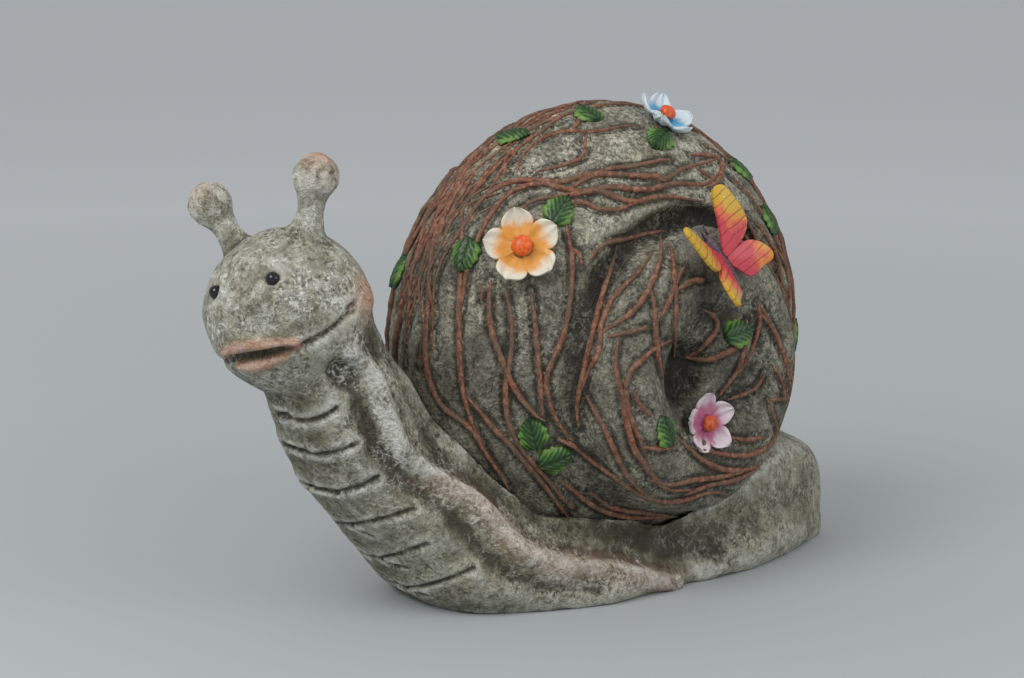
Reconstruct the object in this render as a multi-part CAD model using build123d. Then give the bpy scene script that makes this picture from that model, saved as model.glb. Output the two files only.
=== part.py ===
from build123d import *
import math
import os

# A garden snail ornament: a hollow casting of foot, neck and head, with a hollow shell
# seated in a pocket on its back and small cast ornaments laid on the shell.
# The head looks along -Y and +Z is up, so the snail's left side, the decorated one, faces +X.
# Lengths are in millimetres and angles in degrees.

# Shell: a flattened ball, with a whorl standing proud of each side
shell_half_width = 90.0
shell_radius = 134.0
shell_centre_y = 62.0
shell_centre_z = 139.0
shell_hollow_half_width = 45.0
shell_hollow_radius = 103.0
shell_wall = 9.0
seat_height = 34.0

# Whorl and groove on each side: rings that lean into the shell at the rear and the top
coil_back = 6.0
coil_drop = 13.0
whorl_offset = 67.0
whorl_radius = 54.0
whorl_tube_radius = 29.0
whorl_rear_lean = 5
whorl_top_lean = 1
whorl_seam_turn = 20
groove_offset = 72.0
groove_ring_radius = 86.0
groove_radius = 8.0
groove_rear_lean = 4
groove_top_lean = 3
groove_seam_turn = 50
hollow_radius = 19.0
curl_radius = 17.0

# Seat between the two castings
seat_clearance = 0.3
spigot_radius = 30.0
spigot_height = 8.0
overrun = 5.0

# Foot, neck and head casting
foot_length = 293.0
foot_start_y = -60.0
foot_half_width = 74.0
neck_height = 172.0
casting_wall = 9.0
head_wall = 16.0
base_thickness = 9.0
head_centre_y = -148.0
head_centre_z = 173.0
head_radius = 44.5
head_turn = 20
head_roll = -15
mouth_width = 30.0
mouth_rise = -22
mouth_gap = 1.8
mouth_depth = 7.0
lip_radius = 5.5
lip_curve_radius = 24.0

# Plug in the drain hole under the foot
drain_hole_radius = 14.0
plug_clearance = 0.3
plug_recess = 1.5
drain_hole_y = 0.0

# Eye stalks, each on a steel rod
stalk_waist_radius = 7.2
stalk_bulb_radius = 12.0
stalk_length = 42.0
stalk_socket_radius = 9.0
stalk_socket_depth = 8.0
stalk_spread = 23.5
stalk_lean = 26
rod_radius = 2.0
rod_length = 34.0
small_clearance = 0.15

# Eyes
eye_radius = 3.7

# Vines
vine_width = 4.4
vine_height = 3.0
vine_lift = 0.35
vine_stations = 26
vine_tip_share = 0.4

# Leaves
leaf_length = 21.0
leaf_width = 14.0
leaf_thickness = 2.6
ornament_margin = 3.5

# Flowers
orange_flower_diameter = 46.0
blue_flower_diameter = 40.0
pink_flower_diameter = 37.0
petal_thickness = 3.4
petal_cup = 14
flower_stem_height = 5.0
bead_share = 0.17

# Butterfly
butterfly_body_length = 36.0
butterfly_body_radius = 3.6
wing_span = 34.0
wing_thickness = 3.0
wing_lift = 22

coil_y = shell_centre_y + coil_back
coil_z = shell_centre_z - coil_drop


# Places on the shell


def shell_frame(around, side, height=0.0):
    """A point on the shell and the direction out of it.

    Around is 0 at the front and 90 at the top, side is 0 on the rim and 90 at the middle of the left side.
    """
    a = math.radians(around)
    s = math.radians(side)
    unit = Vector(math.sin(s), -math.cos(s) * math.cos(a), math.cos(s) * math.sin(a))
    point = Vector(unit.X * shell_half_width, unit.Y * shell_radius, unit.Z * shell_radius)
    normal = Vector(unit.X / shell_half_width, unit.Y / shell_radius, unit.Z / shell_radius)
    normal = normal.normalized()
    return point + Vector(0, shell_centre_y, shell_centre_z) + normal * height, normal


def shell_side_x(y, z):
    """How far the shell's left side stands from the middle plane at a height and length."""
    across = ((y - shell_centre_y) / shell_radius) ** 2 + ((z - shell_centre_z) / shell_radius) ** 2
    return shell_half_width * math.sqrt(max(0, 1 - across))


def ring_place(offset, rear_lean, top_lean):
    """The middle of a ring on the left side, its Z axis out of the shell and its X axis to the front."""
    return Pos(offset, coil_y, coil_z) * Rot(Z=rear_lean) * Rot(Y=-top_lean) * Rot(Y=90) * Rot(Z=-90)


def whorl_frame(turn, lean, height=0.0):
    """A point on the whorl and the direction out of it.

    Turn is 0 at the front and 90 at the top, lean is 0 away from the coil and 90 to the left.
    """
    place = ring_place(whorl_offset, whorl_rear_lean, whorl_top_lean)
    t = math.radians(turn)
    v = math.radians(lean)
    outward = Vector(math.cos(t), -math.sin(t), 0)
    direction = outward * math.cos(v) + Vector(0, 0, 1) * math.sin(v)
    inner = (place * Pos(*(outward * whorl_radius))).position
    outer = (place * Pos(*(outward * whorl_radius + direction * (whorl_tube_radius + height)))).position
    return outer, (outer - inner).normalized()


def curl_middle():
    y = coil_y + curl_radius * 1.25
    z = coil_z + curl_radius * 0.9
    return Vector(shell_side_x(y, z) - curl_radius / 2, y, z)


def curl_frame(turn, lean):
    """A point on the last curl and the direction out of it, with turn and lean as on the whorl."""
    t = math.radians(turn)
    v = math.radians(lean)
    direction = Vector(math.sin(v), -math.cos(t) * math.cos(v), math.sin(t) * math.cos(v))
    return curl_middle() + direction * curl_radius, direction


def seat_plane(point, normal, heading):
    """A place on a surface, its X axis turned by the heading from the line that climbs the surface."""
    up = Vector(0, 0, 1) - normal * normal.Z
    return Plane(origin=point, x_dir=up.normalized(), z_dir=normal).location * Rot(Z=heading)


# Shell


def spheroid(half_height, radius):
    """A ball squeezed or drawn out along Z, turned from half an ellipse."""
    half = Ellipse(radius, half_height) & Pos(radius, 0) * Rectangle(2 * radius, 4 * half_height)
    return revolve(Plane.XZ * half, axis=Axis.Z)


def shell_core(grow):
    core = spheroid(shell_half_width + grow, shell_radius + grow)
    return Pos(0, shell_centre_y, shell_centre_z) * Rot(Y=90) * core


def whorl_ring():
    ring = Rot(Z=whorl_seam_turn) * Torus(whorl_radius, whorl_tube_radius)
    return ring_place(whorl_offset, whorl_rear_lean, whorl_top_lean) * ring


def groove_ring():
    """The cutter for the groove between the outer whorl and the coil."""
    ring = Rot(Z=groove_seam_turn) * Torus(groove_ring_radius, groove_radius)
    return ring_place(groove_offset, groove_rear_lean, groove_top_lean) * ring


def coil_hollow():
    """The cutter for the dark hollow at the coil's centre."""
    x = shell_side_x(coil_y, coil_z)
    return Pos(x, coil_y - hollow_radius * 0.8, coil_z + hollow_radius / 6) * Sphere(hollow_radius)


def coil_curl():
    """The last curl, a knob beside the hollow."""
    return Pos(*curl_middle()) * Sphere(curl_radius)


def above(height):
    """A block that holds everything above a height."""
    size = 4 * shell_radius
    return Pos(0, 0, height) * Box(size, size, size, align=(Align.CENTER, Align.CENTER, Align.MIN))


def shell_casting():
    shell = shell_core(0) & above(seat_height)
    for cut, form in ((False, whorl_ring()), (True, groove_ring()), (True, coil_hollow()), (False, coil_curl())):
        for solid in (form, mirror(form, Plane.YZ)):
            shell = shell - solid if cut else shell + solid
    cavity = Rot(Y=90) * Cylinder(shell_hollow_radius, 2 * shell_hollow_half_width)
    cavity = Pos(0, shell_centre_y, shell_centre_z) * cavity
    cavity = cavity & above(seat_height + spigot_height + shell_wall)
    socket = Pos(0, shell_centre_y, seat_height - overrun) * Cylinder(
        spigot_radius + seat_clearance,
        spigot_height + seat_clearance + overrun,
        align=(Align.CENTER, Align.CENTER, Align.MIN),
    )
    return shell - cavity - socket


# Foot, neck and head

# One row per section: belly point and back point, as shares of the foot's length and the neck's
# height, then the half width as a share of the foot's, and how far the section is neck-like
body_section_shares = (
    (0.973, 0.02, 0.982, 0.27, 0.34, 0),
    (0.93, -0.03, 0.94, 0.35, 0.5, 0),
    (0.86, -0.03, 0.865, 0.40, 0.64, 0),
    (0.77, -0.03, 0.77, 0.42, 0.80, 0),
    (0.65, -0.03, 0.65, 0.37, 0.93, 0),
    (0.54, -0.03, 0.54, 0.31, 0.96, 0),
    (0.44, -0.03, 0.44, 0.30, 0.92, 0),
    (0.33, -0.03, 0.33, 0.31, 0.98, 0),
    (0.22, -0.03, 0.23, 0.35, 1.0, 0.1),
    (0.12, -0.03, 0.15, 0.42, 0.92, 0.4),
    (0.01, -0.02, 0.08, 0.53, 0.80, 0.75),
    (-0.11, 0.17, 0.01, 0.60, 0.67, 0.9),
    (-0.21, 0.36, -0.02, 0.64, 0.58, 0.9),
    (-0.29, 0.56, -0.05, 0.72, 0.53, 1),
    (-0.33, 0.75, -0.10, 0.85, 0.49, 1),
    (-0.35, 0.93, -0.15, 0.99, 0.44, 1),
)
foot_outline_shares = ((0, 1.0), (0.84, 1.0), (1.0, 0.6), (0.9, 0.05), (0.88, -0.55))
neck_outline_shares = ((0, 1.0), (0.68, 0.8), (1.0, 0.1), (0.78, -0.6), (0.4, -0.93))


def body_section_points(shares, inset):
    belly_y, belly_z, back_y, back_z, width, neck = shares
    belly = Vector(0, foot_start_y + belly_y * foot_length, belly_z * neck_height)
    back = Vector(0, foot_start_y + back_y * foot_length, back_z * neck_height)
    middle = (belly + back) * 0.5
    reach = (belly - back) * 0.5
    reach = reach * ((reach.length - inset) / reach.length)
    half_width = width * foot_half_width - inset
    right = []
    for foot, throat in zip(foot_outline_shares, neck_outline_shares):
        x = foot[0] + (throat[0] - foot[0]) * neck
        v = foot[1] + (throat[1] - foot[1]) * neck
        right.append(middle + reach * v + Vector(x * half_width, 0, 0))
    left = [Vector(-p.X, p.Y, p.Z) for p in right[1:]]
    return [*right, middle - reach, *left[::-1]]


def body_section(shares, inset):
    points = body_section_points(shares, inset)
    back = len(points) // 2
    return Wire(Spline(*points[back:], *points[:back], periodic=True))


def body_loft(inset):
    rows = body_section_shares if inset == 0 else body_section_shares[1:]
    return Solid.make_loft([body_section(row, inset) for row in rows])


def head_place():
    return Pos(0, head_centre_y, head_centre_z) * Rot(Z=head_turn) * Rot(Y=head_roll)


def head_frame(turn, rise, height=0.0):
    """A point on the head in its own frame: turn is 0 ahead and 90 to its left, rise is 90 at the crown."""
    t = math.radians(turn)
    r = math.radians(rise)
    unit = Vector(math.cos(r) * math.sin(t), -math.cos(r) * math.cos(t), math.sin(r))
    return unit * (head_radius + height), unit


def round_bar(points, radii):
    """A bar of round sections through a row of points."""
    sections = []
    for i, point in enumerate(points):
        along = points[min(i + 1, len(points) - 1)] - points[max(i - 1, 0)]
        sections.append((Plane(origin=point, z_dir=along) * Circle(radii[i])).wire())
    return Solid.make_loft(sections)


def lip(rise):
    """One lip: the part of a ring that comes out through the front of the head."""
    point = head_frame(0, rise, -lip_radius * 0.3)[0]
    return Pos(0, point.Y + lip_curve_radius, point.Z) * Torus(lip_curve_radius, lip_radius)


def mouth_opening():
    """The thin slot cut between the lips."""
    point, normal = head_frame(0, mouth_rise, -lip_radius * 0.3)
    plane = Plane(origin=point, x_dir=(1, 0, 0), z_dir=normal)
    return plane.location * extrude(Ellipse(mouth_width * 0.42, mouth_gap), mouth_depth + overrun)


def stalk_place(side):
    """Where a stalk stands on the head, side is 1 for the left one and -1 for the right one."""
    rise = head_radius * math.sqrt(1 - (stalk_spread / head_radius) ** 2)
    return head_place() * Pos(side * stalk_spread, 0, rise) * Rot(Y=side * stalk_lean)


def stalk(side):
    """A waisted stalk with a bulb on top and a plug below, bored for its rod."""
    bulb_height = stalk_length - stalk_bulb_radius
    heights = [bulb_height * share for share in (0, 0.3, 0.55, 0.8, 1)]
    radii = (
        stalk_socket_radius,
        stalk_waist_radius * 1.06,
        stalk_waist_radius,
        stalk_bulb_radius * 0.82,
        stalk_bulb_radius * 0.9,
    )
    solid = round_bar([Vector(0, 0, height) for height in heights], radii)
    solid = solid + Pos(0, 0, bulb_height) * Sphere(stalk_bulb_radius)
    plug = Pos(0, 0, -stalk_socket_depth) * Cylinder(
        stalk_socket_radius, stalk_socket_depth, align=(Align.CENTER, Align.CENTER, Align.MIN)
    )
    bore = Pos(0, 0, -stalk_socket_depth - overrun) * Cylinder(
        rod_radius + small_clearance, rod_length + overrun, align=(Align.CENTER, Align.CENTER, Align.MIN)
    )
    return stalk_place(side) * (solid + plug - bore)


def stalk_rod(side):
    rod = Pos(0, 0, -stalk_socket_depth) * Cylinder(
        rod_radius, rod_length, align=(Align.CENTER, Align.CENTER, Align.MIN)
    )
    return stalk_place(side) * rod


def stalk_socket(side):
    socket = Pos(0, 0, -stalk_socket_depth) * Cylinder(
        stalk_socket_radius + seat_clearance,
        stalk_socket_depth + 4 * overrun,
        align=(Align.CENTER, Align.CENTER, Align.MIN),
    )
    return stalk_place(side) * socket


def eye(side, grow=0.0):
    point = head_frame(side * 27 + 5, 24, -eye_radius * 0.35)[0]
    return head_place() * Pos(*point) * Sphere(eye_radius + grow)


# Vines

# Each strand's way over the shell: around, side
rim_front_ways = (
    ((-6, -4), (18, -3), (42, -5), (66, -3)),
    ((-8, 5), (16, 4), (40, 5), (64, 4), (88, 5)),
)
rim_rear_ways = (
    ((104, 4), (128, 3), (152, 4), (176, 3), (198, 4)),
    ((96, -5), (120, -4), (144, -5), (168, -4), (192, -5)),
)
flank_ways = (
    ((-12, 13), (8, 11), (28, 13), (50, 12), (72, 14)),
    ((-22, 21), (0, 20), (22, 20), (46, 22), (70, 21), (94, 20)),
    ((-32, 29), (-10, 28), (12, 28), (36, 30), (60, 29), (84, 31), (108, 29)),
    ((-41, 37), (-22, 36), (-2, 36), (20, 37)),
    ((-47, 45), (-28, 44), (-8, 45), (14, 46), (38, 44), (62, 45), (86, 43), (110, 41)),
)
rear_ways = (
    ((100, 12), (124, 14), (148, 12), (172, 14), (196, 12)),
    ((114, 22), (138, 24), (162, 22), (186, 24), (204, 22)),
    ((126, 33), (150, 34), (174, 33), (198, 31), (212, 29)),
    ((132, 45), (156, 46), (180, 45), (204, 43), (216, 41)),
)

# Each strand's way over the whorl: turn, lean
whorl_ways = (
    ((-56, 46), (-34, 44), (-10, 42), (14, 44), (38, 48), (62, 50), (86, 50)),
    ((-62, 70), (-40, 68), (-16, 66), (8, 68), (32, 72), (56, 70), (84, 72)),
    ((-64, 93), (-42, 92), (-18, 90), (6, 92), (30, 94), (60, 92), (92, 94), (124, 92), (156, 94)),
    ((-48, 116), (-26, 114), (-2, 112), (22, 114), (46, 118)),
)


def strand(laid):
    """A half-round strand laid through places on the shell, tapering to both tips."""
    last = len(laid) - 1
    sections = []
    for i, (point, normal) in enumerate(laid):
        along = laid[min(i + 1, last)][0] - laid[max(i - 1, 0)][0]
        across = along.cross(normal).normalized()
        share = 1 - (1 - vine_tip_share) * abs(2 * i / last - 1) ** 3
        left = point - across * (vine_width / 2 * share)
        right = point + across * (vine_width / 2 * share)
        top = point + normal * (vine_height * share)
        sections.append(Wire([ThreePointArc(left, top, right).edge(), Line(right, left).edge()]))
    return Solid.make_loft(sections)


def clear_runs(laid, keep_clear):
    """The stretches of a strand's way that stay outside every place that an ornament takes."""
    runs = [[]]
    for place in laid:
        if all((place[0] - centre).length > radius for centre, radius in keep_clear):
            runs[-1].append(place)
        elif runs[-1]:
            runs.append([])
    return [run for run in runs if len(run) > 3]


def mirrored_place(place):
    point, normal = place
    return Vector(-point.X, point.Y, point.Z), Vector(-normal.X, normal.Y, normal.Z)


def vines(frame, ways, keep_clear, right_side=False):
    """The strands of one region, broken off where a leaf or a flower is seated."""
    solids = []
    for way in ways:
        route = Spline(*[Vector(place[0], place[1], 0) for place in way])
        laid = []
        for i in range(vine_stations):
            place = route @ (i / (vine_stations - 1))
            laid.append(frame(place.X, place.Y, vine_lift))
        if right_side:
            laid = [mirrored_place(place) for place in laid]
        solids += [strand(run) for run in clear_runs(laid, keep_clear)]
    return Compound(solids)


# Leaves, flowers and butterfly

# Name, where it lies and its heading
shell_leaf_places = (
    ("leaf_front_flank", 27, 17, 175),
    ("leaf_front_rim", 20, -16, 10),
    ("leaf_above_orange_flower", 49, 36, -35),
    ("leaf_crown_front", 62, 1, -60),
    ("leaf_by_blue_flower", 93, 31, 120),
    ("leaf_behind_blue_flower", 80, 12, 20),
    ("leaf_crown_rear", 128, 27, -150),
    ("leaf_rear_upper", 142, 38, -165),
    ("leaf_rear_low", 184, 28, 170),
    ("leaf_low_upper", -22, 41, 15),
    ("leaf_low_lower", -33, 44, -65),
)
whorl_leaf_places = (("leaf_by_pink_flower", -30, 100, 25),)
curl_leaf_places = (("leaf_on_coil", 75, 60, -78),)


def leaf(plane):
    """A pointed leaf with a raised midrib and a domed top."""
    half_length = leaf_length / 2
    half_width = leaf_width / 2
    edge = ThreePointArc((-half_length, 0), (0, half_width), (half_length, 0))
    other = ThreePointArc((half_length, 0), (0, -half_width), (-half_length, 0))
    blade = extrude(make_face(edge + other), leaf_thickness)
    dome_radius = leaf_length
    dome = Pos(0, 0, leaf_thickness - dome_radius) * Sphere(dome_radius)
    rib = Pos(0, 0, leaf_thickness * 0.45) * Rot(Y=90) * Cylinder(leaf_thickness * 0.42, leaf_length * 0.8)
    return plane * Pos(0, 0, vine_lift) * ((blade & dome) + rib)


def flower_petals(plane, diameter):
    """Five cupped petals on a short stem, with a seat for the bead."""
    whole = Pos(0, 0, vine_lift) * Cylinder(
        diameter * 0.15, flower_stem_height - vine_lift, align=(Align.CENTER, Align.CENTER, Align.MIN)
    )
    petal = extrude(Ellipse(diameter * 0.21, diameter * 0.17), petal_thickness / 2, both=True)
    petal = Pos(diameter * 0.30, 0, flower_stem_height + petal_thickness * 0.35) * Rot(Y=-petal_cup) * petal
    for i in range(5):
        whole = whole + Rot(Z=72 * i) * petal
    seat = Pos(0, 0, flower_stem_height) * Cylinder(
        diameter * bead_share + small_clearance, petal_thickness * 2, align=(Align.CENTER, Align.CENTER, Align.MIN)
    )
    return plane * (whole - seat)


def flower_bead(plane, diameter):
    radius = diameter * bead_share
    block = Box(4 * radius, 4 * radius, 2 * radius, align=(Align.CENTER, Align.CENTER, Align.MIN))
    return plane * Pos(0, 0, flower_stem_height) * (Sphere(radius) & block)


def butterfly_body(grow=0.0):
    half_length = butterfly_body_length / 2 - butterfly_body_radius
    radius = butterfly_body_radius + grow
    rod = Rot(Y=90) * Cylinder(radius, 2 * half_length)
    for end in (-1, 1):
        rod = rod + Pos(end * half_length, 0, 0) * Sphere(radius)
    block = Pos(0, 0, -butterfly_body_radius * 0.7) * Box(
        4 * half_length, 4 * radius, 4 * radius, align=(Align.CENTER, Align.CENTER, Align.MIN)
    )
    return Pos(0, 0, vine_lift + butterfly_body_radius * 0.7) * (rod & block)


def butterfly_wing(side):
    """A fore and a hind wing in one plate that rises from the body, side is 1 for the left."""
    fore = Pos(wing_span * 0.32, side * wing_span * 0.5) * Rot(Z=side * 52) * Ellipse(
        wing_span * 0.52, wing_span * 0.25
    )
    hind = Pos(-wing_span * 0.24, side * wing_span * 0.36) * Rot(Z=side * -58) * Ellipse(
        wing_span * 0.38, wing_span * 0.23
    )
    plate = extrude(fore + hind, wing_thickness)
    beside = Pos(0, side * (wing_span + butterfly_body_radius * 0.8), 0) * Box(4 * wing_span, 2 * wing_span, 4 * wing_span)
    plate = plate & beside
    return Pos(0, 0, vine_lift + butterfly_body_radius) * Rot(X=side * wing_lift) * plate - butterfly_body(
        small_clearance
    )


def base_plug():
    return Pos(0, drain_hole_y, plug_recess) * Cylinder(
        drain_hole_radius - plug_clearance,
        base_thickness - plug_recess,
        align=(Align.CENTER, Align.CENTER, Align.MIN),
    )


def head_casting():
    head = head_place() * Sphere(head_radius)
    for side in (-1, 1):
        head = head - stalk_socket(side) - eye(side, small_clearance)
    head = head + head_place() * lip(mouth_rise + 8) + head_place() * lip(mouth_rise - 8)
    return head - head_place() * mouth_opening()


def body_cavity():
    """The hollow through foot, neck and head, kept clear of the shell's pocket."""
    room = body_loft(casting_wall)
    room = room + head_place() * Sphere(head_radius - head_wall)
    room = room & above(base_thickness)
    return room - (shell_core(casting_wall) & above(seat_height - casting_wall))


def body_casting():
    body = body_loft(0) & above(0)
    body = body - (shell_core(seat_clearance) & above(seat_height))
    body = body + head_casting()
    body = body - body_cavity()
    spigot = Pos(0, shell_centre_y, seat_height) * Cylinder(
        spigot_radius, spigot_height, align=(Align.CENTER, Align.CENTER, Align.MIN)
    )
    drain = Pos(0, drain_hole_y, 0) * Cylinder(drain_hole_radius, 2 * base_thickness + overrun)
    return body + spigot - drain


def ornaments():
    """Each ornament's pieces by name, and the places, with their radii, that the vines keep clear of."""
    pieces = {}
    keep_clear = []
    for frame, places in (
        (shell_frame, shell_leaf_places),
        (whorl_frame, whorl_leaf_places),
        (curl_frame, curl_leaf_places),
    ):
        for name, first, second, heading in places:
            point, normal = frame(first, second)
            pieces[name] = leaf(seat_plane(point, normal, heading))
            keep_clear.append((point, leaf_length / 2 + ornament_margin))
    # the pink flower stands on the coil and faces out over the whorl below it
    pink_flower_place = (shell_frame(-97, 73, 5 * vine_lift)[0], Vector(1, 0, 0.15).normalized())
    flower_places = (
        ("orange_flower", shell_frame(34, 33), 12, orange_flower_diameter),
        ("blue_flower", shell_frame(100, 21), 30, blue_flower_diameter),
        ("pink_flower", pink_flower_place, 5, pink_flower_diameter),
    )
    for name, (point, normal), heading, diameter in flower_places:
        plane = seat_plane(point, normal, heading)
        pieces[name + "_petals"] = flower_petals(plane, diameter)
        pieces[name + "_centre"] = flower_bead(plane, diameter)
        keep_clear.append((point, diameter / 2 + ornament_margin))
    point, normal = whorl_frame(90, 68, 3 * vine_lift)
    plane = seat_plane(point, normal, 32)
    pieces["butterfly_body"] = plane * butterfly_body()
    pieces["butterfly_wing_left"] = plane * butterfly_wing(1)
    pieces["butterfly_wing_right"] = plane * butterfly_wing(-1)
    keep_clear.append((point, butterfly_body_length / 2 + ornament_margin))
    return pieces, keep_clear


def main():
    os.makedirs("parts", exist_ok=True)
    pieces = {"shell_casting": shell_casting(), "body_casting": body_casting(), "base_plug": base_plug()}
    for side, name in ((1, "left"), (-1, "right")):
        pieces["stalk_" + name] = stalk(side)
        pieces["stalk_rod_" + name] = stalk_rod(side)
        pieces["eye_" + name] = eye(side)
    ornament_pieces, keep_clear = ornaments()
    pieces.update(ornament_pieces)
    pieces["vines_rim_front"] = vines(shell_frame, rim_front_ways, keep_clear)
    pieces["vines_rim_rear"] = vines(shell_frame, rim_rear_ways, keep_clear)
    for right_side, name in ((False, "left"), (True, "right")):
        pieces["vines_flank_" + name] = vines(shell_frame, flank_ways, keep_clear, right_side)
        pieces["vines_rear_" + name] = vines(shell_frame, rear_ways, keep_clear, right_side)
        pieces["vines_whorl_" + name] = vines(whorl_frame, whorl_ways, keep_clear, right_side)
    boxes = [piece.bounding_box() for piece in pieces.values()]
    middle_x = (min(box.min.X for box in boxes) + max(box.max.X for box in boxes)) / 2
    middle_y = (min(box.min.Y for box in boxes) + max(box.max.Y for box in boxes)) / 2
    print("moved by", -middle_x, -middle_y)
    for name, piece in pieces.items():
        export_step(Pos(-middle_x, -middle_y, 0) * piece, "parts/" + name + ".step")


main()
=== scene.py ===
import math
import random

import bmesh
import bpy
import numpy as np
from mathutils import Matrix, Vector, noise
from mathutils.bvhtree import BVHTree
from mathutils.kdtree import KDTree


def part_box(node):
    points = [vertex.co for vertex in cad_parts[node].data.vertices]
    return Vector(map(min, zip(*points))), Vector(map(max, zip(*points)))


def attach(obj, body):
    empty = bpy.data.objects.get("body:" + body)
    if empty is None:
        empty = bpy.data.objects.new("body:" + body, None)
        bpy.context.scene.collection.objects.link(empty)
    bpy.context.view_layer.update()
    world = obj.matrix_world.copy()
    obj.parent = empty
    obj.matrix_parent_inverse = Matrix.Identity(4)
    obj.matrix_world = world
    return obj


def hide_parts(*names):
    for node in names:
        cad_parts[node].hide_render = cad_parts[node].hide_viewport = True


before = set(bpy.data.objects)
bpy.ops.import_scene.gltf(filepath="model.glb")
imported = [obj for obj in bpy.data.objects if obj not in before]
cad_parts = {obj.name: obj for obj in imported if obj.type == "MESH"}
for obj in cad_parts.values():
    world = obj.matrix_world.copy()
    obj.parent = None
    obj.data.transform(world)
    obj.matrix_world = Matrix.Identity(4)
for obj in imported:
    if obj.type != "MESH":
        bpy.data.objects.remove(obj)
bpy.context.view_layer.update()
scene = bpy.context.scene
rng = random.Random(11)
middleX = sum(corner.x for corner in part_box("shell_casting")) / 2


# camera, floor and light

view = {
    "azimuth": 52,
    "elevation": 10,
    "distance": 1.3,
    "aim": (middleX, -0.01738, 0.142),
    "pixelsPerMetre": 1770,
    "middle": (512, 339),
}


def viewAxes():
    a = math.radians(view["azimuth"])
    e = math.radians(view["elevation"])
    back = Vector((math.sin(a) * math.cos(e), -math.cos(a) * math.cos(e), math.sin(e)))
    right = Vector((math.cos(a), math.sin(a), 0))
    return right, back.cross(right), back


def viewPoint():
    return Vector(view["aim"]) + viewAxes()[2] * view["distance"]


def pixelRay(px, py):
    # direction in which the camera sees a pixel of the photograph
    right, up, back = viewAxes()
    focal = view["pixelsPerMetre"] * view["distance"]
    x = (px - view["middle"][0]) / focal
    y = (py - view["middle"][1]) / focal
    return (right * x - up * y - back).normalized()


def makeCamera():
    right, up, back = viewAxes()
    data = bpy.data.cameras.new("camera")
    data.sensor_width = 36
    data.lens = 36 * view["pixelsPerMetre"] * view["distance"] / 1024
    camera = bpy.data.objects.new("camera", data)
    scene.collection.objects.link(camera)
    place = Matrix((right, up, back)).transposed().to_4x4()
    place.translation = viewPoint()
    camera.matrix_world = place
    scene.camera = camera


light = {
    "world": (0.97, 0.985, 1.0),
    "worldStrength": 0.60,
    "backdrop": (0.405, 0.425, 0.44),
    # floor colours near the middle and further away: painted light, darker near the middle and paler further
    # out
    "floor": (0.420, 0.445, 0.455),
    "floorFarPaintedLight": (0.640, 0.665, 0.685),
    "key": ((0.35, -1.3, 1.35), 1.1, 17),
    "fill": ((1.5, 0.5, 0.9), 1.2, 6),
}


def makeLight():
    world = bpy.data.worlds.new("studio")
    scene.world = world
    world.use_nodes = True
    tree = world.node_tree
    shade = tree.nodes["Background"]
    shade.inputs["Color"].default_value = (*light["world"], 1)
    shade.inputs["Strength"].default_value = light["worldStrength"]
    seen = addNode(tree, "ShaderNodeBackground", Color=(*light["backdrop"], 1))
    path = addNode(tree, "ShaderNodeLightPath")
    camera, glossy, through = (
        Signal(tree, path.outputs["Is " + kind + " Ray"]) for kind in ("Camera", "Glossy", "Transmission")
    )
    mix = addNode(tree, "ShaderNodeMixShader")
    link(tree, (camera + glossy).calc("ADD", through, clamp=True), mix.inputs[0])
    tree.links.new(shade.outputs[0], mix.inputs[1])
    tree.links.new(seen.outputs[0], mix.inputs[2])
    tree.links.new(mix.outputs[0], tree.nodes["World Output"].inputs[0])
    for name in ("key", "fill"):
        spot, size, power = light[name]
        data = bpy.data.lights.new(name, "AREA")
        data.shape = "DISK"
        data.size = size
        data.energy = power
        lamp = bpy.data.objects.new(name, data)
        lamp.location = spot
        lamp.rotation_euler = (Vector(view["aim"]) - Vector(spot)).to_track_quat("-Z", "Y").to_euler()
        scene.collection.objects.link(lamp)


def paintFloorPaintedLight(tree, shader):
    # painted light: the floor is painted darker near the middle and paler further away
    away = addNode(tree, "ShaderNodeVectorMath", operation="LENGTH")
    link(tree, objectPlace(tree), away.inputs[0])
    away = Signal(tree, away.outputs["Value"]) + objectNoise(tree, 400, 3) * 0.02
    paintColour(tree, shader, (away * 0.4).ramp((0.10, light["floor"]), (0.75, light["floorFarPaintedLight"])))


def makeFloor():
    bm = bmesh.new()
    bmesh.ops.create_circle(bm, cap_ends=True, radius=30, segments=64)
    floor = newPiece("floor", bm, smooth=False)
    dress(floor, "floorPaper", 0.9, paintFloorPaintedLight)


# small helpers for pieces and materials


def addPiece(name, mesh, smooth=True):
    mesh.name = name
    mesh.polygons.foreach_set("use_smooth", [smooth] * len(mesh.polygons))
    piece = bpy.data.objects.new(name, mesh)
    scene.collection.objects.link(piece)
    return piece


def newPiece(name, bm, smooth=True):
    mesh = bpy.data.meshes.new(name)
    bm.to_mesh(mesh)
    bm.free()
    return addPiece(name, mesh, smooth)


def finishPiece(piece, slotName, *nodes):
    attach(piece, "root")
    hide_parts(*nodes)


def dress(piece, name, roughness, paint, *values):
    # a material is made and painted when it is first asked for
    material = bpy.data.materials.get(name)
    if material is None:
        material = bpy.data.materials.new(name)
        material.use_nodes = True
        shader = material.node_tree.nodes["Principled BSDF"]
        shader.inputs["Roughness"].default_value = roughness
        paint(material.node_tree, shader, *values)
    if piece.material_slots:
        for place in piece.material_slots:
            place.material = material
    else:
        piece.data.materials.append(material)


def addNode(tree, kind, **values):
    node = tree.nodes.new(kind)
    for key, value in values.items():
        if key in node.inputs:
            node.inputs[key].default_value = value
        else:
            setattr(node, key, value)
    return node


def link(tree, value, socket):
    if isinstance(value, Signal):
        tree.links.new(value.socket, socket)
    else:
        socket.default_value = (*value, 1) if hasattr(value, "__len__") else value


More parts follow.
